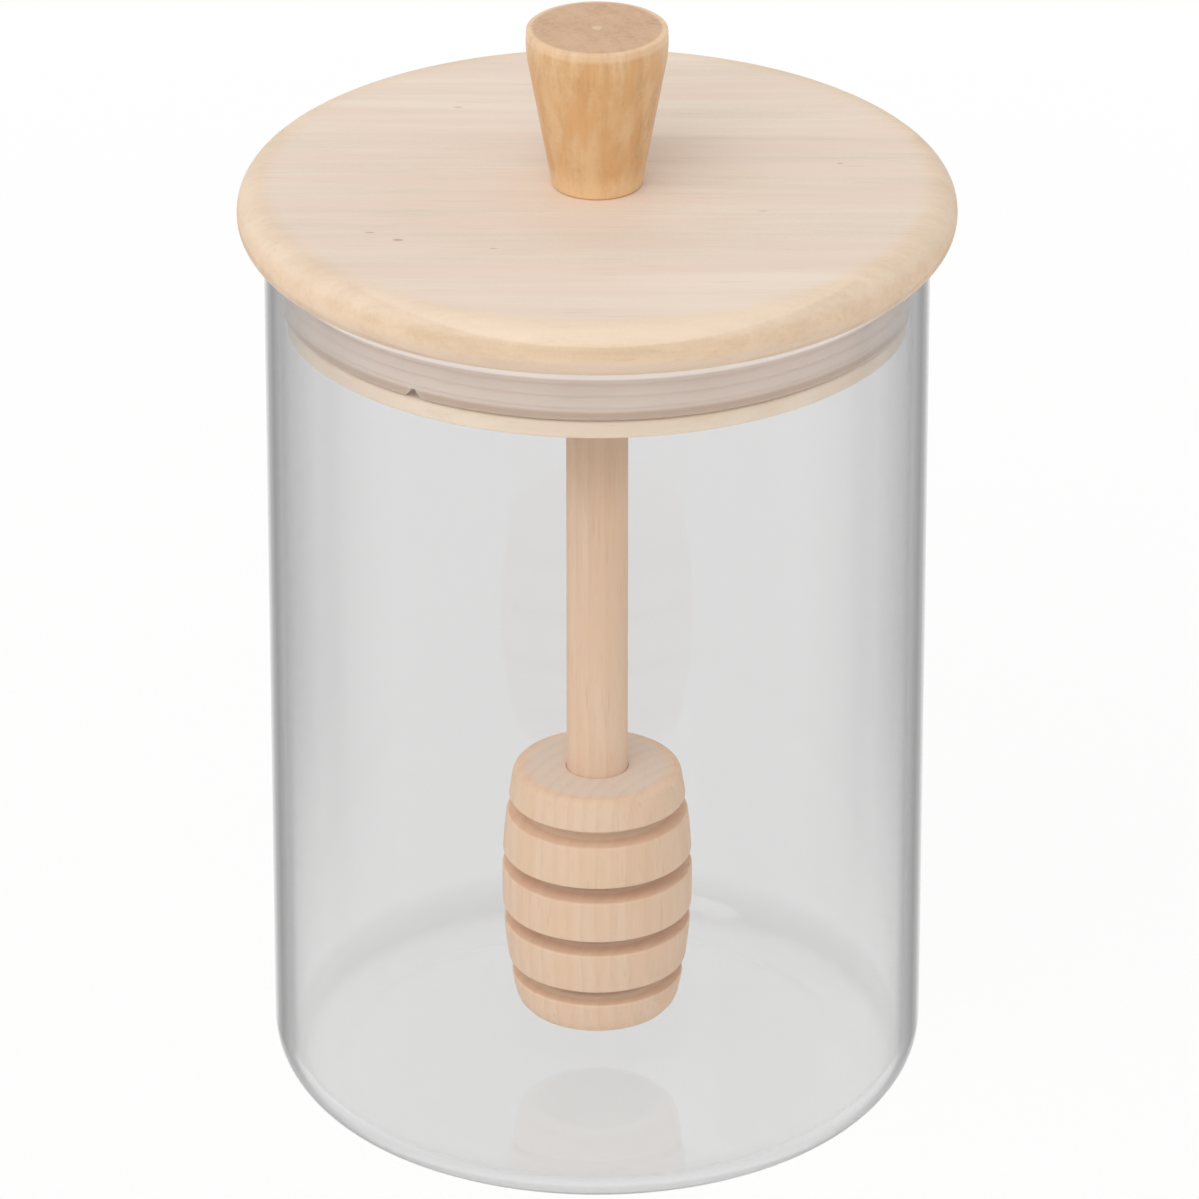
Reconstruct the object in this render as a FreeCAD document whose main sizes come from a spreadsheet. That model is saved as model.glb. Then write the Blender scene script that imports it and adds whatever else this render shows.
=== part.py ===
import FreeCAD, Part
import math
import os
import Sketcher

# Honey jar with a lid, a seal and a dipper that hangs from the lid.
# The origin is on the jar's axis, on the surface that the jar stands on.
# +Z is up, lengths are in millimetres and angles in degrees.

# Driving dimensions, each one cell of the sheet

driving = {
    # blown glass jar
    "jar_radius": 42.5,
    "jar_height": 119.8,
    "jar_wall": 2.3,
    "floor_height": 3.2,
    "corner_round": 8.5,
    "inner_round": 6.2,
    "foot_radius": 30.0,
    "foot_slope": 2.5,
    "foot_recess": 0.8,
    "rim_round": 1.1,
    # wooden disc that covers the jar
    "lid_radius": 45.85,
    "lid_thickness": 7.0,
    "lid_round": 3.4,
    "lid_gap": 0.3,
    # turned plug under the disc, with a flange below the seal
    "plug_depth": 10.1,
    "plug_radius": 36.8,
    "flange_radius": 39.6,
    "flange_thickness": 2.4,
    "flange_round": 0.5,
    # silicone seal with lips that touch the glass
    "seal_play": 0.2,
    "seal_lift": 0.3,
    "seal_height": 6.5,
    "band_radius": 39.3,
    "lip_radius": 40.0,
    "lip_height": 1.3,
    "lip_slope": 0.15,
    "lip_pitch": 1.7,
    "lip_count": 4,
    "nick_width": 2.2,
    "nick_height": 1.6,
    "nick_angle": 35.8,
    # turned knob
    "knob_height": 21.3,
    "knob_base_radius": 5.75,
    "knob_top_radius": 9.6,
    "knob_top_round": 2.2,
    "knob_base_round": 0.5,
    "pilot_radius": 1.35,
    "pilot_depth": 14.4,
    # countersunk wood screw that holds the knob and the two lid pieces
    "screw_radius": 1.75,
    "screw_play": 0.15,
    "screw_head_radius": 3.4,
    "screw_head_height": 2.0,
    "screw_length": 23.0,
    "screw_point": 2.5,
    "thread_start": 13.0,
    "thread_depth": 0.4,
    "thread_height": 0.7,
    "thread_pitch": 1.1,
    "thread_count": 7,
    "slot_width": 0.9,
    "slot_length": 4.6,
    "slot_depth": 1.0,
    # dowel that carries the dipper
    "stick_radius": 4.0,
    "stick_play": 0.05,
    "stick_chamfer": 0.4,
    "stick_grip": 7.0,
    "socket_depth": 10.0,
    # grooved dipper head
    "head_bottom": 9.35,
    "head_height": 35.1,
    "head_top_radius": 10.83,
    "head_bottom_radius": 10.12,
    "barrel_radius": 79.5,
    "head_top_round": 1.0,
    "head_bottom_round": 2.4,
    "groove_first": 4.4,
    "groove_height": 1.95,
    "groove_pitch": 7.85,
    "groove_count": 4,
    "groove_core_radius": 7.6,
}


class Size:
    """A number together with the sheet expression that gives it."""

    def __init__(self, value, text):
        self.value = value
        self.text = text

    def combined(self, sign, other, value):
        return Size(value, "(%s %s %s)" % (self.text, sign, other.text))

    def __add__(self, other):
        other = as_size(other)
        return self.combined("+", other, self.value + other.value)

    def __sub__(self, other):
        other = as_size(other)
        return self.combined("-", other, self.value - other.value)

    def __mul__(self, other):
        other = as_size(other)
        return self.combined("*", other, self.value * other.value)

    def __truediv__(self, other):
        other = as_size(other)
        return self.combined("/", other, self.value / other.value)


def as_size(number):
    if isinstance(number, Size):
        return number
    return Size(float(number), str(number))


doc = FreeCAD.newDocument("honey_jar")
sheet = doc.addObject("Spreadsheet::Sheet", "dims")
size = {}
for row, (alias, number) in enumerate(driving.items(), start=1):
    sheet.set("A%d" % row, alias)
    sheet.set("B%d" % row, str(number))
    sheet.setAlias("B%d" % row, alias)
    size[alias] = Size(float(number), "dims." + alias)
doc.recompute()

# Heights that several pieces share

axis = as_size(0)
ground = as_size(0)
rim = size["jar_height"]
lid_underside = rim + size["lid_gap"]
lid_top = lid_underside + size["lid_thickness"]
plug_bottom = lid_underside - size["plug_depth"]
flange_top = plug_bottom + size["flange_thickness"]
seal_bottom = flange_top + size["seal_lift"]
bore_top = plug_bottom + size["stick_grip"]
countersink_top = bore_top + size["screw_head_height"]
head_top = size["head_bottom"] + size["head_height"]
socket_bottom = head_top - size["socket_depth"]


# Building steps that the pieces share

def new_body(name):
    body = doc.addObject("PartDesign::Body", name)
    body.Label = name
    return body


def sketch_on(body, name, role):
    """An empty sketch on one of the body's own origin planes."""
    plane = [item for item in body.Origin.OriginFeatures if item.Role == role][0]
    sketch = body.newObject("Sketcher::SketchObject", name)
    sketch.AttachmentSupport = [(plane, "")]
    sketch.MapMode = "FlatFace"
    return sketch


def bind(sketch, kind, where, length):
    """Adds one constraint whose value comes from the sheet."""
    number = sketch.addConstraint(Sketcher.Constraint(kind, *where, length.value))
    sketch.setExpression("Constraints[%d]" % number, length.text)


def arc_between(start, end, radius):
    """The arc that bows to the right of the way from start to end."""
    chord = end - start
    middle = (start + end) * 0.5
    reach = math.sqrt(radius ** 2 - (chord.Length / 2) ** 2)
    left = FreeCAD.Vector(-chord.y, chord.x, 0).normalize()
    centre = middle + left * reach
    circle = Part.Circle(centre, FreeCAD.Vector(0, 0, 1), radius)
    first = math.atan2(start.y - centre.y, start.x - centre.x)
    last = math.atan2(end.y - centre.y, end.x - centre.x)
    return Part.ArcOfCircle(circle, first, last)


def draw_outline(sketch, corners, arc_side=None, arc_radius=None):
    """Closes an outline through corners given anticlockwise as (across, up) sizes."""
    origin = (-1, 1)
    horizontal_axis = -1
    vertical_axis = -2
    points = [FreeCAD.Vector(across.value, up.value, 0) for across, up in corners]
    for side, start in enumerate(points):
        end = points[(side + 1) % len(points)]
        if side == arc_side:
            sketch.addGeometry(arc_between(start, end, arc_radius.value), False)
        else:
            sketch.addGeometry(Part.LineSegment(start, end), False)
    for side in range(len(corners)):
        following = (side + 1) % len(corners)
        sketch.addConstraint(Sketcher.Constraint("Coincident", side, 2, following, 1))
    for side, (across, up) in enumerate(corners):
        if across.value == 0:
            sketch.addConstraint(Sketcher.Constraint("PointOnObject", side, 1, vertical_axis))
        else:
            bind(sketch, "DistanceX", (*origin, side, 1), across)
        if up.value == 0:
            sketch.addConstraint(Sketcher.Constraint("PointOnObject", side, 1, horizontal_axis))
        else:
            bind(sketch, "DistanceY", (*origin, side, 1), up)
    if arc_side is not None:
        bind(sketch, "Radius", (arc_side,), arc_radius)


def turn(body, name, kind, corners, arc_side=None, arc_radius=None):
    """Adds or cuts a full turn of the outline about the Z axis."""
    sketch = sketch_on(body, name + "_outline", "XZ_Plane")
    draw_outline(sketch, corners, arc_side, arc_radius)
    feature = body.newObject(kind, name)
    feature.Profile = sketch
    feature.ReferenceAxis = (sketch, ["V_Axis"])
    feature.Angle = 360.0
    doc.recompute()
    return feature


def repeat(body, name, original, pitch, count, downwards):
    """Repeats a feature along Z at a steady pitch."""
    pattern = body.newObject("PartDesign::LinearPattern", name)
    pattern.Originals = [original]
    pattern.Direction = (original.Profile[0], ["V_Axis"])
    pattern.Reversed = downwards
    pattern.setExpression("Length", (pitch * (count - 1)).text)
    pattern.setExpression("Occurrences", count.text)
    body.Tip = pattern
    doc.recompute()
    return pattern


def circle_edges(shape, circles):
    """Names of the edges that are circles about Z at the given (radius, height) pairs."""
    names = []
    for number, edge in enumerate(shape.Edges, start=1):
        if not isinstance(edge.Curve, Part.Circle):
            continue
        for radius, height in circles:
            near_radius = abs(edge.Curve.Radius - radius.value) < 1e-4
            near_height = abs(edge.Curve.Center.z - height.value) < 1e-4
            if near_radius and near_height:
                names.append("Edge%d" % number)
    if len(names) != len(circles):
        raise RuntimeError("found %d of %d edges" % (len(names), len(circles)))
    return names


def soften(body, name, kind, circles, amount):
    """Rounds or chamfers the circular edges of the body's last feature."""
    base = body.Tip
    names = circle_edges(base.Shape, circles)
    feature = body.newObject(kind, name)
    feature.Base = (base, names)
    feature.setExpression("Radius" if kind == "PartDesign::Fillet" else "Size", amount.text)
    doc.recompute()
    return feature


def check_removed(body, before, what):
    """Stops if a cut took nothing away."""
    if body.Shape.Volume > before - 1e-3:
        raise RuntimeError(what + " cut nothing")


# Pieces

def make_jar():
    body = new_body("glass_jar")
    inside = size["jar_radius"] - size["jar_wall"]
    turn(body, "jar_wall_and_floor", "PartDesign::Revolution", [
        (axis, size["foot_recess"]),
        (size["foot_radius"] - size["foot_slope"], size["foot_recess"]),
        (size["foot_radius"], ground),
        (size["jar_radius"], ground),
        (size["jar_radius"], rim),
        (inside, rim),
        (inside, size["floor_height"]),
        (axis, size["floor_height"]),
    ])
    outer_corner = [(size["jar_radius"], ground)]
    inner_corner = [(inside, size["floor_height"])]
    soften(body, "outer_corner", "PartDesign::Fillet", outer_corner, size["corner_round"])
    soften(body, "inner_corner", "PartDesign::Fillet", inner_corner, size["inner_round"])
    rim_edges = [(size["jar_radius"], rim), (inside, rim)]
    soften(body, "fire_polished_rim", "PartDesign::Fillet", rim_edges, size["rim_round"])
    return body


def make_lid_disc():
    body = new_body("lid_disc")
    hole = size["screw_radius"] + size["screw_play"]
    turn(body, "disc", "PartDesign::Revolution", [
        (hole, lid_underside),
        (size["lid_radius"], lid_underside),
        (size["lid_radius"], lid_top),
        (hole, lid_top),
    ])
    edges = [(size["lid_radius"], lid_underside), (size["lid_radius"], lid_top)]
    soften(body, "round_edge", "PartDesign::Fillet", edges, size["lid_round"])
    return body


def make_lid_plug():
    body = new_body("lid_plug")
    hole = size["screw_radius"] + size["screw_play"]
    bore = size["stick_radius"] + size["stick_play"]
    turn(body, "plug_and_flange", "PartDesign::Revolution", [
        (bore, plug_bottom),
        (size["flange_radius"], plug_bottom),
        (size["flange_radius"], flange_top),
        (size["plug_radius"], flange_top),
        (size["plug_radius"], lid_underside),
        (hole, lid_underside),
        (hole, countersink_top),
        (size["screw_head_radius"] + size["screw_play"], bore_top),
        (bore, bore_top),
    ])
    edges = [(size["flange_radius"], plug_bottom), (size["flange_radius"], flange_top)]
    soften(body, "flange_edges", "PartDesign::Fillet", edges, size["flange_round"])
    return body


def make_seal():
    body = new_body("seal_ring")
    inside = size["plug_radius"] + size["seal_play"]
    lip_root = size["band_radius"] - size["lip_slope"]
    turn(body, "band", "PartDesign::Revolution", [
        (inside, seal_bottom),
        (size["band_radius"], seal_bottom),
        (size["band_radius"], seal_bottom + size["seal_height"]),
        (inside, seal_bottom + size["seal_height"]),
    ])
    lip = turn(body, "lip", "PartDesign::Revolution", [
        (lip_root, seal_bottom),
        (size["lip_radius"], seal_bottom + size["lip_slope"]),
        (size["lip_radius"], seal_bottom + size["lip_height"] - size["lip_slope"]),
        (lip_root, seal_bottom + size["lip_height"]),
    ])
    repeat(body, "lips", lip, size["lip_pitch"], size["lip_count"], False)
    before = body.Shape.Volume
    sketch = sketch_on(body, "nick_outline", "XZ_Plane")
    turned = FreeCAD.Rotation(FreeCAD.Vector(0, 1, 0), -driving["nick_angle"])
    sketch.AttachmentOffset = FreeCAD.Placement(FreeCAD.Vector(), turned)
    half = size["nick_width"] / 2
    draw_nick(sketch, half)
    nick = body.newObject("PartDesign::Pocket", "moulding_nick")
    nick.Profile = sketch
    nick.Reversed = True
    nick.Type = "ThroughAll"
    doc.recompute()
    check_removed(body, before, "nick")
    return body


def draw_nick(sketch, half):
    """A triangle that stands on the seal's lower edge."""
    left = FreeCAD.Vector(-half.value, seal_bottom.value, 0)
    right = FreeCAD.Vector(half.value, seal_bottom.value, 0)
    tip = FreeCAD.Vector(0, seal_bottom.value + driving["nick_height"], 0)
    for start, end in ((left, right), (right, tip), (tip, left)):
        sketch.addGeometry(Part.LineSegment(start, end), False)
    for side in range(3):
        sketch.addConstraint(Sketcher.Constraint("Coincident", side, 2, (side + 1) % 3, 1))
    sketch.addConstraint(Sketcher.Constraint("PointOnObject", 2, 1, -2))
    sketch.addConstraint(Sketcher.Constraint("Symmetric", 0, 1, 0, 2, -2))
    bind(sketch, "DistanceX", (0, 1, 0, 2), size["nick_width"])
    bind(sketch, "DistanceY", (-1, 1, 0, 1), seal_bottom)
    bind(sketch, "DistanceY", (-1, 1, 2, 1), seal_bottom + size["nick_height"])


def make_knob():
    body = new_body("knob")
    knob_top = lid_top + size["knob_height"]
    pilot_top = lid_top + size["pilot_depth"]
    turn(body, "tapered_knob", "PartDesign::Revolution", [
        (size["pilot_radius"], lid_top),
        (size["knob_base_radius"], lid_top),
        (size["knob_top_radius"], knob_top),
        (axis, knob_top),
        (axis, pilot_top),
        (size["pilot_radius"], pilot_top),
    ])
    top_edge = [(size["knob_top_radius"], knob_top)]
    base_edge = [(size["knob_base_radius"], lid_top)]
    soften(body, "top_edge", "PartDesign::Fillet", top_edge, size["knob_top_round"])
    soften(body, "base_edge", "PartDesign::Fillet", base_edge, size["knob_base_round"])
    return body


def make_knob_screw():
    body = new_body("knob_screw")
    tip = bore_top + size["screw_length"]
    turn(body, "head_and_shank", "PartDesign::Revolution", [
        (axis, bore_top),
        (size["screw_head_radius"], bore_top),
        (size["screw_radius"], countersink_top),
        (size["screw_radius"], tip - size["screw_point"]),
        (axis, tip),
    ])
    thread_start = bore_top + size["thread_start"]
    outside = size["screw_radius"] + size["thread_depth"]
    before = body.Shape.Volume
    thread = turn(body, "thread_valley", "PartDesign::Groove", [
        (size["screw_radius"] - size["thread_depth"], thread_start),
        (outside, thread_start - size["thread_height"]),
        (outside, thread_start + size["thread_height"]),
    ])
    repeat(body, "thread", thread, size["thread_pitch"], size["thread_count"], False)
    check_removed(body, before, "thread")
    before = body.Shape.Volume
    slot = sketch_on(body, "slot_outline", "XY_Plane")
    slot.AttachmentOffset = FreeCAD.Placement(FreeCAD.Vector(0, 0, bore_top.value), FreeCAD.Rotation())
    slot.setExpression("AttachmentOffset.Base.z", bore_top.text)
    draw_slot(slot)
    cut = body.newObject("PartDesign::Pocket", "slot")
    cut.Profile = slot
    cut.Reversed = True
    cut.setExpression("Length", size["slot_depth"].text)
    doc.recompute()
    check_removed(body, before, "slot")
    return body


def draw_slot(sketch):
    """A rectangle centred on the axis, for the screwdriver."""
    across = driving["slot_length"] / 2
    along = driving["slot_width"] / 2
    corners = [(-across, -along), (across, -along), (across, along), (-across, along)]
    points = [FreeCAD.Vector(first, second, 0) for first, second in corners]
    for side in range(4):
        sketch.addGeometry(Part.LineSegment(points[side], points[(side + 1) % 4]), False)
    for side in range(4):
        sketch.addConstraint(Sketcher.Constraint("Coincident", side, 2, (side + 1) % 4, 1))
    sketch.addConstraint(Sketcher.Constraint("Horizontal", 0))
    sketch.addConstraint(Sketcher.Constraint("Vertical", 1))
    sketch.addConstraint(Sketcher.Constraint("Horizontal", 2))
    sketch.addConstraint(Sketcher.Constraint("Symmetric", 0, 1, 2, 1, -1, 1))
    bind(sketch, "DistanceX", (0, 1, 0, 2), size["slot_length"])
    bind(sketch, "DistanceY", (1, 1, 1, 2), size["slot_width"])


def make_dipper_stick():
    body = new_body("dipper_stick")
    bottom = socket_bottom + size["stick_play"]
    top = bore_top - size["stick_play"]
    turn(body, "dowel", "PartDesign::Revolution", [
        (axis, bottom),
        (size["stick_radius"], bottom),
        (size["stick_radius"], top),
        (axis, top),
    ])
    ends = [(size["stick_radius"], bottom), (size["stick_radius"], top)]
    soften(body, "end_chamfers", "PartDesign::Chamfer", ends, size["stick_chamfer"])
    return body


def make_dipper_head():
    body = new_body("dipper_head")
    socket = size["stick_radius"] + size["stick_play"]
    bottom = size["head_bottom"]
    turn(body, "barrel", "PartDesign::Revolution", [
        (axis, bottom),
        (size["head_bottom_radius"], bottom),
        (size["head_top_radius"], head_top),
        (socket, head_top),
        (socket, socket_bottom),
        (axis, socket_bottom),
    ], arc_side=1, arc_radius=size["barrel_radius"])
    top_edge = [(size["head_top_radius"], head_top)]
    bottom_edge = [(size["head_bottom_radius"], bottom)]
    soften(body, "top_edge", "PartDesign::Fillet", top_edge, size["head_top_round"])
    soften(body, "bottom_edge", "PartDesign::Fillet", bottom_edge, size["head_bottom_round"])
    before = body.Shape.Volume
    outside = size["head_top_radius"] * 1.5
    upper = head_top - size["groove_first"]
    lower = upper - size["groove_height"]
    groove = turn(body, "top_groove", "PartDesign::Groove", [
        (size["groove_core_radius"], lower),
        (outside, lower),
        (outside, upper),
        (size["groove_core_radius"], upper),
    ])
    repeat(body, "grooves", groove, size["groove_pitch"], size["groove_count"], True)
    check_removed(body, before, "grooves")
    return body


pieces = [
    make_jar(),
    make_lid_disc(),
    make_lid_plug(),
    make_seal(),
    make_knob(),
    make_knob_screw(),
    make_dipper_stick(),
    make_dipper_head(),
]
doc.recompute()

for item in doc.Objects:
    if "Invalid" in item.State or "Error" in item.State:
        raise RuntimeError("%s did not build: %s" % (item.Label, item.State))
os.makedirs("parts", exist_ok=True)
for piece in pieces:
    if piece.Shape.isNull() or not piece.Shape.isValid() or len(piece.Shape.Solids) != 1:
        raise RuntimeError(piece.Label + " is not one valid solid")
for piece in pieces:
    piece.Shape.exportStep("parts/%s.step" % piece.Label)
    box = piece.Shape.BoundBox
    corners = (box.XMin, box.YMin, box.ZMin, box.XMax, box.YMax, box.ZMax)
    volume = piece.Shape.Volume / 1000
    print(piece.Label, "%.1f cm3" % volume, " ".join("%.2f" % value for value in corners))
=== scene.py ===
import math

import bmesh
import bpy
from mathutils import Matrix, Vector


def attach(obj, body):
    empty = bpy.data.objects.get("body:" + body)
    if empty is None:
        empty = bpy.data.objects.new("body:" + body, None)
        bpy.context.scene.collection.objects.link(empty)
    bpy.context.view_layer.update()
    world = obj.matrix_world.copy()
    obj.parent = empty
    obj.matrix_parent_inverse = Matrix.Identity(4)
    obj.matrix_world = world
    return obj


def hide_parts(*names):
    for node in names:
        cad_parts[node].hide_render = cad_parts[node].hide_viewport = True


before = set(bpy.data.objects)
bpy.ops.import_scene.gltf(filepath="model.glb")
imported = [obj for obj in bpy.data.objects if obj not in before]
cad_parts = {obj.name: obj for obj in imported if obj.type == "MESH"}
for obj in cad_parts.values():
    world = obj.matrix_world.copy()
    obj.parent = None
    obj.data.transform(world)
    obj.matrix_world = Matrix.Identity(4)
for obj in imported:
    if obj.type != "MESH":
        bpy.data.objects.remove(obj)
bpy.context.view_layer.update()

milli = 0.001

print("camera")

cameraView = {
    "place": (0.0003, -1.190, 0.6528),
    "downwards": 26.17,
    "lens": 307.126,
    "filmWidth": 36.0,
    "nearest": 0.05,
}
cameraData = bpy.data.cameras.new("frontCamera")
cameraData.lens = cameraView["lens"]
cameraData.sensor_width = cameraView["filmWidth"]
cameraData.clip_start = cameraView["nearest"]
camera = bpy.data.objects.new("frontCamera", cameraData)
camera.location = cameraView["place"]
camera.rotation_euler = (math.radians(90 - cameraView["downwards"]), 0, 0)
bpy.context.scene.collection.objects.link(camera)
bpy.context.scene.camera = camera
bpy.context.scene.view_settings.view_transform = "Standard"


# Shader nodes. A Signal is one output, and sums written with it add Math nodes.

class Signal:
    def __init__(self, finish, socket):
        self.finish = finish
        self.socket = socket

    def sum(self, operation, *values):
        return self.finish.node("Math", {"operation": operation}, dict(enumerate(values)))

    def __add__(self, other):
        return self.sum("ADD", self, other)

    def __radd__(self, other):
        return self.sum("ADD", other, self)

    def __sub__(self, other):
        return self.sum("SUBTRACT", self, other)

    def __rsub__(self, other):
        return self.sum("SUBTRACT", other, self)

    def __mul__(self, other):
        return self.sum("MULTIPLY", self, other)

    def __rmul__(self, other):
        return self.sum("MULTIPLY", other, self)

    def __truediv__(self, other):
        return self.sum("DIVIDE", self, other)

    def __rtruediv__(self, other):
        return self.sum("DIVIDE", other, self)

    def __pow__(self, other):
        return self.sum("POWER", self, other)

    def fraction(self):
        return self.sum("FRACT", self)

    def largest(self, other):
        return self.sum("MAXIMUM", self, other)

    def between(self, low, high):
        # 0 at low, 1 at high, smooth in between
        return self.finish.node(
            "MapRange", {"interpolation_type": "SMOOTHSTEP"},
            {"Value": self, "From Min": low, "From Max": high})

    def part(self, name):
        # X, Y or Z of a vector
        return self.finish.node("SeparateXYZ", {}, {"Vector": self}, name)


class Finish:
    def __init__(self, owner):
        # owner is a new material or the world
        owner.use_nodes = True
        self.owner = owner
        self.tree = owner.node_tree
        self.tree.nodes.clear()

    def node(self, kind, settings, values, output=0):
        made = self.tree.nodes.new("ShaderNode" + kind)
        for name, value in settings.items():
            if name == "stops":
                # a colour ramp's, as (place, colour)
                ramp = made.color_ramp
                while len(ramp.elements) < len(value):
                    ramp.elements.new(1.0)
                for element, (position, colour) in zip(ramp.elements, value):
                    element.position = position
                    element.color = colour
            else:
                setattr(made, name, value)
        for name, value in values.items():
            if isinstance(value, Signal):
                self.tree.links.new(value.socket, made.inputs[name])
            else:
                made.inputs[name].default_value = value
        return Signal(self, made.outputs[output])

    def place(self, turn=(0, 0, 0), shift=(0, 0, 0)):
        # object coordinates in millimetres, turned and shifted for a pattern
        spot = self.node("TexCoord", {}, {}, "Object")
        return self.node("Mapping", {}, {
            "Vector": spot, "Rotation": [math.radians(angle) for angle in turn],
            "Scale": (1 / milli, 1 / milli, 1 / milli), "Location": shift})

    def noise(self, spot, scale, detail=2.0, roughness=0.5, stretch=(1, 1, 1)):
        stretched = self.node("Mapping", {}, {"Vector": spot, "Scale": stretch})
        return self.node("TexNoise", {}, {
            "Vector": stretched, "Scale": scale, "Detail": detail, "Roughness": roughness})

    def mixed(self, share, first, second):
        # sockets 6 and 7 are A and B of a Mix node that mixes colours
        return self.node("Mix", {"data_type": "RGBA"}, {0: share, 6: first, 7: second}, 2)

    def greys(self, share, stops):
        # a ramp of greys, with stops as (place, brightness)
        stops = [(spot, grey(value)) for spot, value in stops]
        return self.node("ValToRGB", {"stops": stops}, {"Fac": share})

    def bump(self, height, strength, depth):
        # depth in millimetres
        return self.node("Bump", {}, {
            "Height": height, "Strength": strength, "Distance": depth * milli})

    def finished(self, surface, kind="OutputMaterial"):
        out = self.tree.nodes.new("ShaderNode" + kind)
        self.tree.links.new(surface.socket, out.inputs["Surface"])
        return self.owner


def newFinish(name):
    return Finish(bpy.data.materials.new(name))


def grey(brightness):
    return (brightness, brightness, brightness, 1.0)


def srgb(red, green, blue):
    # a colour as seen on a screen, 0 to 255, as the linear colour that a socket takes
    def one(value):
        value = value / 255
        return value / 12.92 if value <= 0.04045 else ((value + 0.055) / 1.055) ** 2.4
    return (one(red), one(green), one(blue), 1.0)


# Pieces. An outline is a list of (radius, height, rounding) in millimetres. It is spun in
# size["steps"] steps, and each rounding has size["roundSteps"] segments.

sameSpot = 0.0001  # points nearer than this, in millimetres, are one


def turnedPiece(name, body, outline, size, node):
    mesh = bmesh.new()
    points = [mesh.verts.new((radius, 0, height)) for radius, height, rounding in outline]
    for first, second in zip(points, points[1:]):
        mesh.edges.new((first, second))
    if outline[0][0] > 0 and outline[-1][0] > 0:
        mesh.edges.new((points[-1], points[0]))
    for point, (radius, height, rounding) in zip(points, outline):
        if rounding:
            bmesh.ops.bevel(
                mesh, geom=[point], offset=rounding, offset_type="OFFSET", affect="VERTICES",
                segments=size["roundSteps"], profile=0.5, material=-1, clamp_overlap=False)
    bmesh.ops.spin(
        mesh, geom=mesh.verts[:] + mesh.edges[:], cent=(0, 0, 0), axis=(0, 0, 1),
        dvec=(0, 0, 0), angle=math.tau, steps=size["steps"], use_merge=True)
    bmesh.ops.remove_doubles(mesh, verts=mesh.verts, dist=sameSpot)
    bmesh.ops.recalc_face_normals(mesh, faces=mesh.faces)
    bmesh.ops.scale(mesh, vec=(milli, milli, milli), verts=mesh.verts)
    for face in mesh.faces:
        face.smooth = True
    data = bpy.data.meshes.new(name)
    mesh.to_mesh(data)
    mesh.free()
    piece = bpy.data.objects.new(name, data)
    bpy.context.scene.collection.objects.link(piece)
    evenShading = piece.modifiers.new("evenShading", "WEIGHTED_NORMAL")
    evenShading.keep_sharp = False
    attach(piece, body)
    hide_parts(node)
    return piece


def dress(piece, material):
    piece.data.materials.clear()
    piece.data.materials.append(material)


print("glass jar")

glassJarSizes = {
    "radius": 42.5, "height": 119.9, "wall": 2.1, "floor": 2.1,
    "corner": 8.5, "cornerStraight": 0.6, "innerCorner": 6.4,
    "rim": 0.85, "rimStraight": 0.4,
    "footRadius": 29.0, "footRecess": 0.5,
    "domePlaces": (0, 0.12, 0.24, 0.36, 0.48, 0.6, 0.7, 0.8, 0.9, 1),
    "steps": 256, "roundSteps": 12,
}


def makeGlassJar(size):
    inside = size["radius"] - size["wall"]
    rimFoot = size["height"] - size["rim"] - size["rimStraight"]
    # the underside is a shallow dome inside the ring that the jar stands on
    dome = [(size["footRadius"] * share, size["footRecess"] * (1 - share ** 2) ** 2, 0)
            for share in size["domePlaces"]]
    outline = dome + [
        (size["radius"], 0, size["corner"]),
        (size["radius"], size["corner"] + size["cornerStraight"], 0),
        (size["radius"], rimFoot, 0),
        (size["radius"], size["height"], size["rim"]),
        (inside, size["height"], size["rim"]),
        (inside, rimFoot, 0),
        (inside, size["floor"] + size["innerCorner"] + size["cornerStraight"], 0),
        (inside, size["floor"], size["innerCorner"]),
        (0, size["floor"], 0),
    ]
    return turnedPiece("clearJar", "jar", outline, size, "glass_jar")


glassLook = {
    "ior": 1.47,
    "roughness": 0.0,
    "usualSlope": 0.9,
    "leastSlope": 0.04,
    "clear": 0.842,
    # what a face lets through, from square on to edge on: painted shade that darkens the glass towards
    # its outline
    "edgeShadeStops": [(0.0, 0.842), (0.29, 0.842), (0.34, 0.80), (0.40, 0.73), (0.457, 0.61),
                  (0.525, 0.565), (0.564, 0.475), (0.608, 0.37), (0.659, 0.26), (0.688, 0.18),
                  (0.703, 0.14), (0.736, 0.09), (0.775, 0.02), (0.80, 0.0), (0.88, 0.0),
                  (0.92, 0.12), (1.0, 0.3)],
    # the same painted shade near the foot, and the heights between which it gives way to edgeShadeStops
    "footShadeStops": [(0.0, 0.842), (0.4, 0.842), (0.5, 0.82), (0.564, 0.75), (0.608, 0.67),
                  (0.659, 0.50), (0.688, 0.27), (0.703, 0.17), (0.736, 0.09), (0.775, 0.02),
                  (0.80, 0.0), (0.88, 0.0), (0.92, 0.12), (1.0, 0.3)],
    "footEnds": (12, 75),
    # painted shade in the bottom corner: what it lets through by height, from 0 at the foot to 1 at
    # cornerTop
    "cornerShadeStops": [(0.0, 0.81), (0.12, 0.79), (0.26, 0.6), (0.6, 0.57), (0.78, 0.65), (1.0, 0.65)],
    "cornerTop": 10, "cornerEnds": (2.0, 9.0), "cornerEdge": 0.12,
    "rim": 0.8, "rimStarts": (119.1, 119.5),
    # painted glow on the rim, and the heights where it starts
    "paintedRimGlow": 0.22, "paintedGlowStarts": (118.9, 119.3),
    # the corner's centre, how far from it the outer face starts, and where the flat foot ends
    "cornerRadius": 34.0, "cornerHeight": 8.5, "outerStarts": (7.2, 7.8), "footEdge": (31, 34.5),
    "wave": 0.12, "waveScale": 0.1, "waveStretch": (1, 1, 0.3), "waveDepth": 0.04,
}


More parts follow.
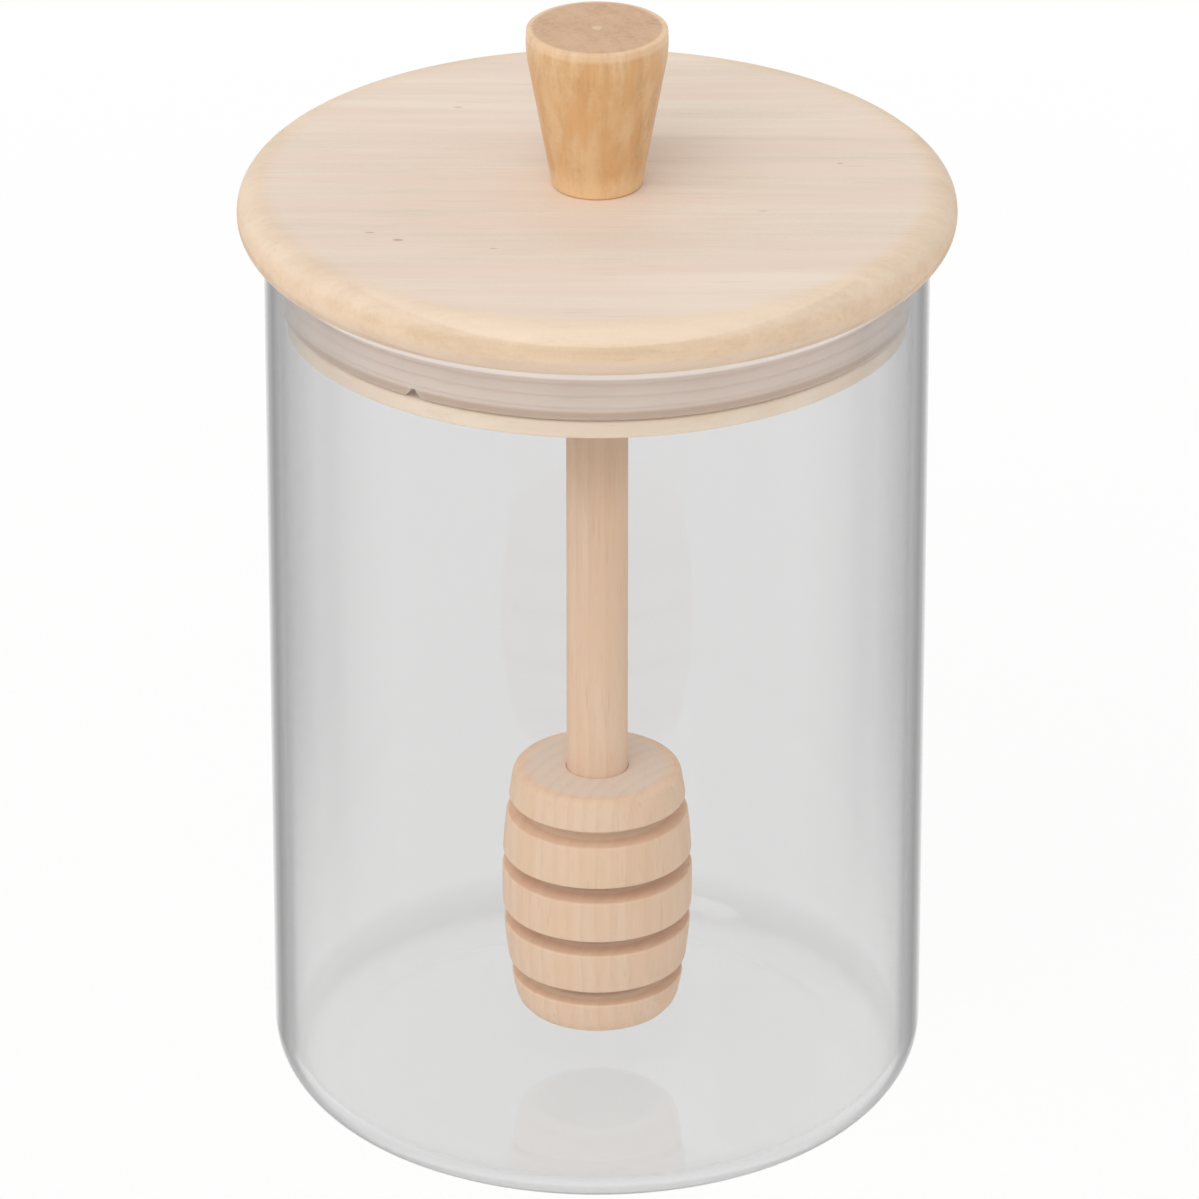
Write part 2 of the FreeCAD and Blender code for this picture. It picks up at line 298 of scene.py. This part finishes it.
def makeGlass(look):
    finish = newFinish("clearGlass")
    # how far a face turns from the eye round the jar, whatever height it is seen from
    upward = finish.node("CombineXYZ", {}, {"Z": 1.0})
    towards = 1 - finish.node("LayerWeight", {}, {"Blend": 0.5}, "Facing")
    steep = 1 - finish.node("LayerWeight", {}, {"Blend": 0.5, "Normal": upward}, "Facing")
    slope = (1 - steep * steep).largest(look["leastSlope"]) ** 0.5
    facing = 1 - look["usualSlope"] * towards / slope
    spot = finish.place()
    x, y, z = [spot.part(axis) for axis in "XYZ"]
    radius = (x * x + y * y) ** 0.5
    across = (radius - look["cornerRadius"]).largest(0)
    under = (look["cornerHeight"] - z).largest(0)
    outside = ((across * across + under * under) ** 0.5).between(*look["outerStarts"])
    outside = outside * radius.between(*look["footEdge"])
    # painted shade on the outer face: darker towards the outline, near the foot and in the bottom corner;
    # at the rim it gives way to an even grey
    edge = finish.greys(facing, look["edgeShadeStops"])
    foot = finish.greys(facing, look["footShadeStops"])
    corner = finish.greys(z / look["cornerTop"], look["cornerShadeStops"])
    edge = finish.mixed(z.between(*look["footEnds"]), foot, edge)
    edge = finish.mixed((1 - z.between(*look["cornerEnds"])) * (1 - look["cornerEdge"]), edge, corner)
    edge = finish.mixed(z.between(*look["rimStarts"]), edge, grey(look["rim"]))
    tint = finish.mixed(outside, grey(look["clear"]), edge)
    # a painted glow: the rim emits light, standing in for light that the wall carries up from the table
    paintedGlow = z.between(*look["paintedGlowStarts"]) * look["paintedRimGlow"]
    waves = finish.noise(spot, look["waveScale"], detail=1.0, stretch=look["waveStretch"])
    glass = finish.node("BsdfPrincipled", {}, {
        "Base Color": tint, "Roughness": look["roughness"], "IOR": look["ior"],
        "Transmission Weight": 1.0,
        "Emission Color": finish.mixed(paintedGlow, grey(0), grey(1)), "Emission Strength": 1.0,
        "Normal": finish.bump(waves, look["wave"], look["waveDepth"])})
    # light from lamps, and between the wooden pieces, goes straight through
    clearWay = finish.node("BsdfTransparent", {}, {"Color": grey(1)})
    for kind in ("Is Diffuse Ray", "Is Shadow Ray"):
        ray = finish.node("LightPath", {}, {}, kind)
        glass = finish.node("MixShader", {}, {0: ray, 1: glass, 2: clearWay})
    return finish.finished(glass)


glassJar = makeGlassJar(glassJarSizes)
dress(glassJar, makeGlass(glassLook))


print("lid")

lidSizes = {
    "radius": 45.85, "bottom": 120.1, "top": 127.1, "round": 3.4, "straight": 0.6, "hole": 1.9,
    "steps": 256, "roundSteps": 10,
}
plugSizes = {
    "bottom": 110.0, "top": 120.1, "radius": 36.8, "flangeRadius": 39.6, "flangeStraight": 1.2,
    "flangeTop": 112.4, "flangeRound": 0.5, "hole": 1.9, "bore": 4.05,
    "boreTop": 117.0, "screwHead": 3.55, "countersink": 119.0,
    "steps": 256, "roundSteps": 4,
}


def makeLidDisc(size):
    flatEnd = size["radius"] - size["round"] - size["straight"]
    outline = [
        (size["hole"], size["bottom"], 0),
        (flatEnd, size["bottom"], 0),
        (size["radius"], size["bottom"], size["round"]),
        (size["radius"], size["top"], size["round"]),
        (flatEnd, size["top"], 0),
        (size["hole"], size["top"], 0),
    ]
    return turnedPiece("lidDisc", "lid", outline, size, "lid_disc")


def makeLidPlug(size):
    outline = [
        (size["bore"], size["bottom"], 0),
        (size["flangeRadius"] - size["flangeStraight"], size["bottom"], 0),
        (size["flangeRadius"], size["bottom"], size["flangeRound"]),
        (size["flangeRadius"], size["flangeTop"], size["flangeRound"]),
        (size["radius"], size["flangeTop"], 0),
        (size["radius"], size["top"], 0),
        (size["hole"], size["top"], 0),
        (size["hole"], size["countersink"], 0),
        (size["screwHead"], size["boreTop"], 0),
        (size["bore"], size["boreTop"], 0),
    ]
    return turnedPiece("lidPlug", "lid", outline, size, "lid_plug")


# Wood as a solid pattern. The grain runs along the pattern's own Z, so "turn" and
# "shift" say how the piece was cut from the board.

allWood = {
    # the same in every wood here
    "lateWood": (0.25, 0.92), "lateWoodEnds": (0.94, 1.0), "poreEdge": 0.08,
    "grainRange": (-0.35, 1.1), "streakRange": (0.35, 0.68), "fleckRange": (0.35, 1.0),
    "fibreHeight": 0.6, "poreDepth": 0.5, "ringHeight": 0.2, "bumpDepth": 0.05,
    "roughnessRange": 0.25,
}


def makeWood(name, ownLook):
    look = dict(allWood, **ownLook)
    finish = newFinish(name)
    spot = finish.place(look["turn"], look["shift"])

    def along(layer, detail, roughness=0.5):
        # noise drawn out along the grain
        stretch = (1, 1, look[layer + "Stretch"])
        return finish.noise(spot, look[layer + "Scale"], detail, roughness, stretch)

    x, y = spot.part("X"), spot.part("Y")
    sway = along("sway", detail=2.0) - 0.5
    distance = (x * x + y * y) ** 0.5 + sway * look["sway"]
    ring = (distance / look["ringWidth"]).fraction()
    lateWood = ring.between(*look["lateWood"]) * (1 - ring.between(*look["lateWoodEnds"]))
    fibres = along("fibre", detail=3.0, roughness=0.6) - 0.5
    pore = along("pore", detail=1.0).between(look["poreFrom"], look["poreFrom"] + look["poreEdge"])
    broad = along("broad", detail=2.0) - 0.5
    streak = along("streak", detail=1.0).between(*look["streakRange"])
    here = finish.place()
    speck = finish.noise(here, look["speckScale"], roughness=0.6) - 0.5
    grain = lateWood * look["ringShare"] + fibres * look["fibreShare"] + broad * look["broadShare"]
    grain = (grain + speck * look["speckShare"]).between(*look["grainRange"])
    colour = finish.mixed(grain, srgb(*look["pale"]), srgb(*look["dark"]))
    colour = finish.mixed(streak * look["streakShare"], colour, srgb(*look["streakColour"]))
    reach = {"radius": (here.part("X") ** 2 + here.part("Y") ** 2) ** 0.5, "height": here.part("Z")}
    for zone in look["zones"]:
        # a place on the piece with a tone of its own, such as a worked edge or end grain, or with painted
        # shade or painted light
        mask = zone["share"]
        for way, empty, full in zone["where"]:
            mask = reach[way].between(empty, full) * mask
        toned = finish.mixed(grain, srgb(*zone["pale"]), srgb(*zone["dark"]))
        colour = finish.mixed(mask, colour, toned)
    for x0, y0, length, width, tilt in look["flecks"]:
        # short brown marks in the grain, at a place on top
        dx, dy = here.part("X") - x0, here.part("Y") - y0
        gap = ((dx / length) ** 2 + ((dy - dx * tilt) / width) ** 2) ** 0.5
        mark = (1 - gap.between(*look["fleckRange"])) * look["fleckShare"]
        colour = finish.mixed(mark, colour, srgb(*look["poreColour"]))
    colour = finish.mixed(pore * look["poreShare"], colour, srgb(*look["poreColour"]))
    height = fibres * look["fibreHeight"] - pore * look["poreDepth"] + lateWood * look["ringHeight"]
    values = {
        "Base Color": colour,
        "Roughness": look["roughness"] + fibres * look["roughnessRange"],
        "Specular IOR Level": look["shine"],
        "Normal": finish.bump(height, look["bump"], look["bumpDepth"]),
    }
    if "coat" in look:
        values["Coat Weight"] = look["coat"]
        values["Coat Roughness"] = look["coatRoughness"]
    return finish.finished(finish.node("BsdfPrincipled", {}, values))


lidWoodLook = {
    "turn": (0, 90, 0), "shift": (60, 8, 0),
    "swayScale": 0.02, "swayStretch": 0.25, "sway": 3.0, "ringWidth": 4.6, "ringShare": 0.5,
    "fibreScale": 1.3, "fibreStretch": 0.035, "fibreShare": 0.9,
    "poreScale": 2.2, "poreStretch": 0.05, "poreFrom": 0.68, "poreShare": 0.12,
    "poreColour": (178, 138, 104),
    "broadScale": 0.26, "broadStretch": 0.1, "broadShare": 1.5,
    "streakScale": 0.3, "streakStretch": 0.07, "streakShare": 0.75, "streakColour": (236, 214, 198),
    "pale": (241, 225, 209), "dark": (226, 208, 190),
    "speckScale": 1.9, "speckShare": 0.55,
    # x, y, length, width and tilt
    "flecks": [(-25.0, -17.9, 0.9, 0.45, -0.05), (-28.6, -15.6, 0.9, 0.22, 0.0),
               (-13.0, -20.5, 0.7, 0.16, 0.02), (21.0, -9.0, 0.8, 0.15, 0.0),
               (31.0, 6.0, 0.6, 0.2, 0.03), (-18.0, 24.0, 0.9, 0.2, 0.0)],
    "fleckShare": 0.65,
    # the round edge, then its side, then its lower half, which is painted darker as shade on the rounding
    # that faces down
    "zones": [
        {"where": [("radius", 40.6, 43.6)], "share": 0.85,
         "pale": (240, 217, 191), "dark": (224, 199, 171)},
        {"where": [("radius", 43.0, 44.5), ("height", 125.9, 124.4)], "share": 0.9,
         "pale": (237, 209, 180), "dark": (216, 186, 154)},
        # painted shade on the lower half of the rounding
        {"where": [("radius", 40.6, 43.6), ("height", 123.2, 122.4)], "share": 0.9,
         "pale": (231, 207, 184), "dark": (216, 190, 164)},
    ],
    "roughness": 0.6, "shine": 0.3, "bump": 0.25,
}
plugWoodLook = dict(
    lidWoodLook, shift=(40, -12, 5), zones=[], flecks=[],
    pale=(254, 237, 214), dark=(245, 221, 193), streakColour=(250, 226, 204))

lidDisc = makeLidDisc(lidSizes)
dress(lidDisc, makeWood("lidWood", lidWoodLook))
lidPlug = makeLidPlug(plugSizes)
dress(lidPlug, makeWood("plugWood", plugWoodLook))


print("knob")

knobSizes = {
    "bottom": 127.1, "top": 148.4, "baseRadius": 5.75, "baseRound": 0.3,
    "shoulder": 146.2, "shoulderRadius": 9.2, "shoulderRound": 2.0,
    "topRadius": 8.95, "topRound": 1.0, "topStraight": 0.4,
    "latheMark": 0.7, "latheMarkDepth": 0.15,
    "pilotRadius": 1.35, "pilotTop": 141.5,
    "steps": 160, "roundSteps": 8,
}


def makeKnob(size):
    outline = [
        (size["pilotRadius"], size["bottom"], 0),
        (size["baseRadius"], size["bottom"], size["baseRound"]),
        (size["shoulderRadius"], size["shoulder"], size["shoulderRound"]),
        (size["topRadius"], size["top"], size["topRound"]),
        (size["topRadius"] - size["topRound"] - size["topStraight"], size["top"], 0),
        (size["latheMark"], size["top"], 0),
        (0, size["top"] - size["latheMarkDepth"], 0),
        (0, size["pilotTop"], 0),
        (size["pilotRadius"], size["pilotTop"], 0),
    ]
    return turnedPiece("turnedKnob", "lid", outline, size, "knob")


knobWoodLook = {
    "turn": (0, 0, 0), "shift": (26, 14, 0),
    "swayScale": 0.04, "swayStretch": 0.25, "sway": 4.0, "ringWidth": 2.3, "ringShare": 0.2,
    "fibreScale": 1.7, "fibreStretch": 0.2, "fibreShare": 1.1,
    "poreScale": 2.6, "poreStretch": 0.05, "poreFrom": 0.66, "poreShare": 0.12,
    "poreColour": (170, 120, 72),
    "broadScale": 0.3, "broadStretch": 0.35, "broadShare": 1.8,
    "streakScale": 0.42, "streakStretch": 0.35, "streakShare": 0.6, "streakColour": (218, 162, 102),
    "pale": (229, 190, 142), "dark": (198, 152, 102),
    "speckScale": 1.7, "speckShare": 0.8,
    "flecks": [],
    # the foot, painted lighter to lift the shade where it meets the lid; a painted highlight along the
    # top edge; the end grain on top; and the lathe's mark
    "zones": [
        # painted light on the foot
        {"where": [("height", 131.5, 127.8)], "share": 0.7,
         "pale": (246, 210, 162), "dark": (230, 190, 140)},
        # painted highlight along the top edge
        {"where": [("radius", 7.6, 8.4), ("height", 147.0, 147.7)], "share": 0.6,
         "pale": (240, 208, 172), "dark": (230, 194, 156)},
        {"where": [("radius", 8.5, 8.0), ("height", 147.9, 148.2)], "share": 0.9,
         "pale": (208, 168, 131), "dark": (184, 142, 104)},
        {"where": [("radius", 0.8, 0.45), ("height", 147.9, 148.1)], "share": 0.8,
         "pale": (228, 200, 170), "dark": (222, 192, 160)},
    ],
    "roughness": 0.42, "shine": 0.45, "bump": 0.2, "coat": 0.2, "coatRoughness": 0.3,
}
knob = makeKnob(knobSizes)
dress(knob, makeWood("knobWood", knobWoodLook))


print("dipper")

stickSizes = {
    "bottom": 34.5, "top": 116.95, "radius": 4.0, "chamfer": 0.4, "endLength": 1.0,
    "steps": 96, "roundSteps": 2,
}
headSizes = {
    "bottom": 9.35, "top": 44.45, "topRadius": 10.83, "bottomRadius": 10.12,
    "barrelRadius": 79.5, "topRound": 1.0, "bottomRound": 2.4, "bottomStraight": 0.5, "lipRound": 0.3,
    "grooveFirst": 4.2, "grooveHeight": 2.1, "groovePitch": 7.85, "grooveCount": 4,
    "coreRadius": 7.6, "coreRound": 0.25, "bandPlaces": (0.15, 0.5, 0.85),
    "socket": 4.05, "socketRound": 0.2, "socketBottom": 34.45,
    "steps": 192, "roundSteps": 4,
}


def makeStick(size):
    outline = [
        (0, size["bottom"], 0),
        (size["radius"], size["bottom"], size["chamfer"]),
        (size["radius"], size["bottom"] + size["endLength"], 0),
        (size["radius"], size["top"] - size["endLength"], 0),
        (size["radius"], size["top"], size["chamfer"]),
        (0, size["top"], 0),
    ]
    return turnedPiece("dipperStick", "lid", outline, size, "dipper_stick")


def barrelRadius(size, height):
    # the barrel's side is an arc through both ends
    middle = Vector(((size["bottomRadius"] + size["topRadius"]) / 2, (size["bottom"] + size["top"]) / 2))
    side = Vector((size["topRadius"] - size["bottomRadius"], size["top"] - size["bottom"]))
    inward = Vector((-side.y, side.x)).normalized()
    centre = middle + inward * math.sqrt(size["barrelRadius"] ** 2 - (side.length / 2) ** 2)
    return centre.x + math.sqrt(size["barrelRadius"] ** 2 - (height - centre.y) ** 2)


def makeHead(size):
    outline = [(0, size["bottom"], 0), (size["bottomRadius"], size["bottom"], size["bottomRound"])]
    start = size["bottom"] + size["bottomRound"] + size["bottomStraight"]
    for count in reversed(range(size["grooveCount"])):
        upper = size["top"] - size["grooveFirst"] - size["groovePitch"] * count
        lower = upper - size["grooveHeight"]
        for share in size["bandPlaces"]:
            height = start + (lower - start) * share
            outline.append((barrelRadius(size, height), height, 0))
        outline += [
            (barrelRadius(size, lower), lower, size["lipRound"]),
            (size["coreRadius"], lower, size["coreRound"]),
            (size["coreRadius"], upper, size["coreRound"]),
            (barrelRadius(size, upper), upper, size["lipRound"]),
        ]
        start = upper
    height = (start + size["top"]) / 2
    outline += [
        (barrelRadius(size, height), height, 0),
        (size["topRadius"], size["top"], size["topRound"]),
        (size["socket"], size["top"], size["socketRound"]),
        (size["socket"], size["socketBottom"], 0),
        (0, size["socketBottom"], 0),
    ]
    return turnedPiece("dipperHead", "lid", outline, size, "dipper_head")


dipperWoodLook = {
    "turn": (0, 0, 0), "shift": (-22, 17, 0),
    "swayScale": 0.03, "swayStretch": 0.25, "sway": 1.5, "ringWidth": 1.9, "ringShare": 0.3,
    "fibreScale": 2.6, "fibreStretch": 0.1, "fibreShare": 0.9,
    "poreScale": 2.6, "poreStretch": 0.06, "poreFrom": 0.65, "poreShare": 0.22,
    "poreColour": (196, 152, 116),
    "broadScale": 0.12, "broadStretch": 0.3, "broadShare": 0.8,
    "streakScale": 0.4, "streakStretch": 0.12, "streakShare": 0.4, "streakColour": (240, 198, 160),
    "pale": (246, 214, 184), "dark": (230, 192, 156),
    "speckScale": 2.8, "speckShare": 0.5,
    "flecks": [],
    # the head's flat top; painted light on the groove floors; painted shade deep in the lower grooves;
    # and the lid's painted shadow on the stick near it
    "zones": [
        {"where": [("radius", 4.0, 4.1), ("radius", 10.4, 8.4), ("height", 43.9, 44.3)], "share": 0.85,
         "pale": (236, 220, 205), "dark": (224, 205, 189)},
        # painted light on the groove floors
        {"where": [("radius", 9.9, 9.0), ("height", 43, 42)], "share": 0.9,
         "pale": (255, 241, 221), "dark": (252, 231, 205)},
        # painted shade deep in the lower grooves
        {"where": [("radius", 8.8, 7.9), ("height", 38, 37)], "share": 0.9,
         "pale": (230, 205, 180), "dark": (216, 188, 160)},
        # painted shadow of the lid on the stick
        {"where": [("radius", 4.2, 4.1), ("height", 80, 93)], "share": 0.95,
         "pale": (218, 183, 151), "dark": (200, 163, 130)},
    ],
    "roughness": 0.6, "shine": 0.3, "bump": 0.25,
}
dipperWood = makeWood("dipperWood", dipperWoodLook)
stick = makeStick(stickSizes)
dress(stick, dipperWood)
head = makeHead(headSizes)
dress(head, dipperWood)


print("seal and screw")

sealSizes = {
    "inside": 37.0, "insideRound": 0.2, "bottom": 112.7, "top": 119.2,
    "radius": 39.95, "grooveRadius": 39.8, "lips": 4, "lipRound": 0.1, "lipStarts": 0.3, "lipEnds": 0.35,
    "nickAngle": 235.75, "nickWidth": 2.2, "nickHeight": 1.5,
    "steps": 540, "roundSteps": 3,
}
sealLook = {
    "colour": (240, 223, 211), "cloudDarker": 10, "cloudScale": 0.15,
    # painted shade on the lowest lip
    "shadedLowColour": (204, 180, 160), "lowShadeFrom": (114.2, 113.5),
    "roughness": 0.38, "roughnessRange": 0.15, "shine": 0.5,
    "gritScale": 3.0, "bump": 0.1, "bumpDepth": 0.03, "depth": (2.2, 1.9, 1.7),
}
steelLook = {
    "bright": (196, 194, 188), "dull": (168, 166, 160), "rubScale": 1.5, "rubStretch": (1, 1, 6),
    "roughness": 0.3, "roughnessRange": 0.2,
}


def makeSeal(size):
    # soft lips pressed nearly flat against the glass, with a moulding nick in the lower edge
    pitch = (size["top"] - size["bottom"]) / size["lips"]
    outline = [(size["inside"], size["bottom"], size["insideRound"])]
    for lip in range(size["lips"]):
        foot = size["bottom"] + lip * pitch
        outline += [
            (size["grooveRadius"], foot, 0),
            (size["radius"], foot + size["lipStarts"], size["lipRound"]),
            (size["radius"], foot + pitch - size["lipEnds"], size["lipRound"]),
        ]
    outline += [
        (size["grooveRadius"], size["top"], 0),
        (size["inside"], size["top"], size["insideRound"]),
    ]
    piece = turnedPiece("sealRing", "seal", outline, size, "seal_ring")
    angle = math.radians(size["nickAngle"])
    side = Vector((math.cos(angle), math.sin(angle), 0))
    for point in piece.data.vertices:
        along = point.co.dot(side)
        aside = (point.co - side * along - Vector((0, 0, point.co.z))).length / milli
        roof = size["bottom"] + size["nickHeight"] * (1 - aside / (size["nickWidth"] / 2))
        if along > 0 and roof > size["bottom"] and point.co.z < roof * milli:
            point.co.z = roof * milli
    return piece


def makeSilicone(look):
    finish = newFinish("milkySilicone")
    spot = finish.place()
    cloud = finish.noise(spot, look["cloudScale"])
    grit = finish.noise(spot, look["gritScale"], roughness=0.6)
    darker = [value - look["cloudDarker"] for value in look["colour"]]
    colour = finish.mixed(cloud, srgb(*look["colour"]), srgb(*darker))
    # painted shade: the lowest lip darker and browner, for the shadow in the gap above the flange, with
    # the wood behind the thin lip showing through
    colour = finish.mixed(spot.part("Z").between(*look["lowShadeFrom"]), colour, srgb(*look["shadedLowColour"]))
    surface = finish.node("BsdfPrincipled", {}, {
        "Base Color": colour, "Roughness": look["roughness"] + (grit - 0.5) * look["roughnessRange"],
        "Specular IOR Level": look["shine"], "Normal": finish.bump(grit, look["bump"], look["bumpDepth"]),
        "Subsurface Weight": 1.0, "Subsurface Radius": look["depth"], "Subsurface Scale": milli})
    return finish.finished(surface)


def makeSteel(look):
    finish = newFinish("screwSteel")
    rub = finish.noise(
        finish.place(), look["rubScale"], detail=3.0, roughness=0.6, stretch=look["rubStretch"])
    surface = finish.node("BsdfPrincipled", {}, {
        "Base Color": finish.mixed(rub, srgb(*look["bright"]), srgb(*look["dull"])),
        "Metallic": 1.0, "Roughness": look["roughness"] + rub * look["roughnessRange"]})
    return finish.finished(surface)


dress(makeSeal(sealSizes), makeSilicone(sealLook))
dress(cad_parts["knob_screw"], makeSteel(steelLook))


print("floor and light")

stageLook = {
    # the floor's radius in metres, and how far it lies under the jar's foot in millimetres
    "radius": 6.0, "drop": 0.1, "steps": 96,
    "floorColour": (250, 249, 248),
    # plain white's share in the floor, and the radii in millimetres between which it grows to 1
    "glow": 0.9, "glowEnds": (120, 420),
    "roomLight": 0.68,
}
keyLampLook = {"power": 20.0, "size": 2.2, "place": (-0.7, -1.2, 1.8), "aim": (0, 0, 0.07)}


def makeFloor(look):
    mesh = bmesh.new()
    bmesh.ops.create_circle(mesh, cap_ends=True, segments=look["steps"], radius=look["radius"])
    bmesh.ops.translate(mesh, vec=(0, 0, -look["drop"] * milli), verts=mesh.verts)
    data = bpy.data.meshes.new("studioFloor")
    mesh.to_mesh(data)
    mesh.free()
    floor = bpy.data.objects.new("studioFloor", data)
    bpy.context.scene.collection.objects.link(floor)
    finish = newFinish("studioFloor")
    spot = finish.place()
    x, y = spot.part("X"), spot.part("Y")
    far = ((x * x + y * y) ** 0.5).between(*look["glowEnds"])
    glow = seenRay(finish) * (look["glow"] + far * (1 - look["glow"]))
    matt = finish.node("BsdfDiffuse", {}, {"Color": srgb(*look["floorColour"])})
    white = finish.node("Emission", {}, {"Color": grey(1), "Strength": 1.0})
    material = finish.finished(finish.node("MixShader", {}, {0: glow, 1: matt, 2: white}))
    material.cycles.emission_sampling = "NONE"
    dress(floor, material)


def seenRay(finish):
    # 1 where the camera looks, straight or through glass or in a reflection
    straight, mirrored, through = [
        finish.node("LightPath", {}, {}, "Is %s Ray" % kind)
        for kind in ("Camera", "Glossy", "Transmission")]
    return straight.largest(mirrored).largest(through)


def makeWorld(look):
    finish = Finish(bpy.data.worlds.new("studioWorld"))
    strength = look["roomLight"] + seenRay(finish) * (1 - look["roomLight"])
    sky = finish.node("Background", {}, {"Color": grey(1), "Strength": strength})
    bpy.context.scene.world = finish.finished(sky, "OutputWorld")


def makeLamp(name, look):
    data = bpy.data.lights.new(name, "AREA")
    data.shape = "DISK"
    data.energy = look["power"]
    data.size = look["size"]
    lamp = bpy.data.objects.new(name, data)
    lamp.location = look["place"]
    direction = Vector(look["aim"]) - Vector(look["place"])
    lamp.rotation_euler = direction.to_track_quat("-Z", "Y").to_euler()
    lamp.visible_camera = False
    bpy.context.scene.collection.objects.link(lamp)


makeFloor(stageLook)
makeWorld(stageLook)
makeLamp("keyLamp", keyLampLook)
